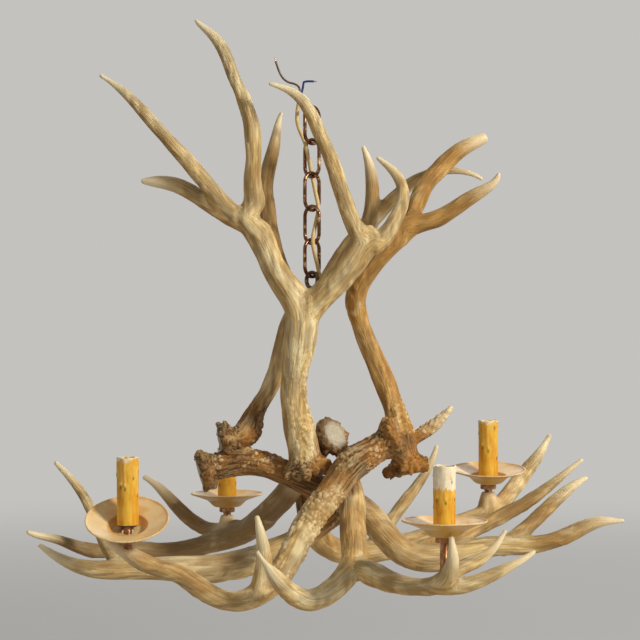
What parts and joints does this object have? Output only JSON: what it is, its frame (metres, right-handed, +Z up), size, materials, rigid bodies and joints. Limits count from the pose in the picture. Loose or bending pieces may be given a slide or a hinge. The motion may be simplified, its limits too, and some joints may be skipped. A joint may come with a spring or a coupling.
{
  "type": "antler chandelier",
  "caption": "Rustic hanging chandelier of crossed, forked antlers with upright candle lights on drip pans, hung from a short oval-link chain.",
  "frame": {"origin": "the hang point, inside top of the top chain link", "axes": "+Z up, -Y towards the front (the pictured side), +X to the right seen from the front"},
  "size_m": [0.6587, 0.447, 0.6288],
  "materials": {
    "chain_copper": "antique copper plate on steel, worn brighter on the edges",
    "eye_bronze": "dark bronze plate, satin",
    "antler": "natural shed antler: grooved, brown-stained near the burr, polished pale tips",
    "pan_cream": "cream enamel over spun steel, aged and lightly stained",
    "socket_body": "moulded phenolic, satin",
    "shell_brass": "bare brass, slightly dulled",
    "tube_copper": "antique copper plate on steel thread",
    "candle_honey": "honey-amber waxed sleeve with drips",
    "lead_insulation": "thin wire insulation",
    "pin_steel": "plain steel rod",
    "cord_gold": "pale gold lamp cord sheath",
    "conductor_brown": "brown wire insulation",
    "conductor_blue": "blue wire insulation"
  },
  "bodies": {
    "top_link": {"link_1": "chain_copper", "supply_cord": "cord_gold", "brown_conductor": "conductor_brown", "blue_conductor": "conductor_blue"},
    "second_link": {"link_2": "chain_copper"},
    "third_link": {"link_3": "chain_copper"},
    "fourth_link": {"link_4": "chain_copper"},
    "fifth_link": {"link_5": "chain_copper"},
    "fixture": {"screw_eye": "eye_bronze", "antler_right_beam": "antler", "antler_left_beam": "antler", "antler_low_left_beam": "antler", "antler_back_right_beam": "antler", "antler_front_beam": "antler", "antler_front_right_beam": "antler", "antler_front_crown": "antler", "antler_left_crown": "antler", "antler_right_crown": "antler", "pan_front_left": "pan_cream", "socket_front_left": "socket_body", "screw_shell_front_left": "shell_brass", "threaded_tube_front_left": "tube_copper", "pan_front_right": "pan_cream", "socket_front_right": "socket_body", "screw_shell_front_right": "shell_brass", "threaded_tube_front_right": "tube_copper", "pan_back_left": "pan_cream", "socket_back_left": "socket_body", "screw_shell_back_left": "shell_brass", "threaded_tube_back_left": "tube_copper", "pan_back_right": "pan_cream", "socket_back_right": "socket_body", "screw_shell_back_right": "shell_brass", "threaded_tube_back_right": "tube_copper", "centre_contacts": "shell_brass", "pan_nuts": "tube_copper", "pan_washers": "tube_copper", "socket_leads": "lead_insulation", "antler_pins": "pin_steel"},
    "cover_front_left": {"candle_cover_front_left": "candle_honey"},
    "cover_front_right": {"candle_cover_front_right": "candle_honey"},
    "cover_back_left": {"candle_cover_back_left": "candle_honey"},
    "cover_back_right": {"candle_cover_back_right": "candle_honey"}
  },
  "joints": [
    {"name": "link_2_swing", "type": "hinge", "parent": "top_link", "child": "second_link", "pos_m": [0, 0, -0.039], "axis": [0.7071, 0.7071, 0], "range_deg": [-14, 14], "deforming": ["supply_cord"]},
    {"name": "link_3_swing", "type": "hinge", "parent": "second_link", "child": "third_link", "pos_m": [0, 0, -0.0756], "axis": [-0.7071, 0.7071, 0], "range_deg": [-14, 14]},
    {"name": "link_4_swing", "type": "hinge", "parent": "third_link", "child": "fourth_link", "pos_m": [0, 0, -0.1122], "axis": [0.7071, 0.7071, 0], "range_deg": [-14, 14]},
    {"name": "link_5_swing", "type": "hinge", "parent": "fourth_link", "child": "fifth_link", "pos_m": [0, 0, -0.1488], "axis": [-0.7071, 0.7071, 0], "range_deg": [-14, 14]},
    {"name": "fixture_swing", "type": "hinge", "parent": "fifth_link", "child": "fixture", "pos_m": [0, 0, -0.1854], "axis": [0.7071, 0.7071, 0], "range_deg": [-9, 9]},
    {"name": "cover_front_left_lift", "type": "slide", "parent": "fixture", "child": "cover_front_left", "axis": [0, 0, 1], "range_m": [0, 0.075]},
    {"name": "cover_front_right_lift", "type": "slide", "parent": "fixture", "child": "cover_front_right", "axis": [0, 0, 1], "range_m": [0, 0.075]},
    {"name": "cover_back_left_lift", "type": "slide", "parent": "fixture", "child": "cover_back_left", "axis": [0, 0, 1], "range_m": [0, 0.075]},
    {"name": "cover_back_right_lift", "type": "slide", "parent": "fixture", "child": "cover_back_right", "axis": [0, 0, 1], "range_m": [0, 0.075]}
  ]
}
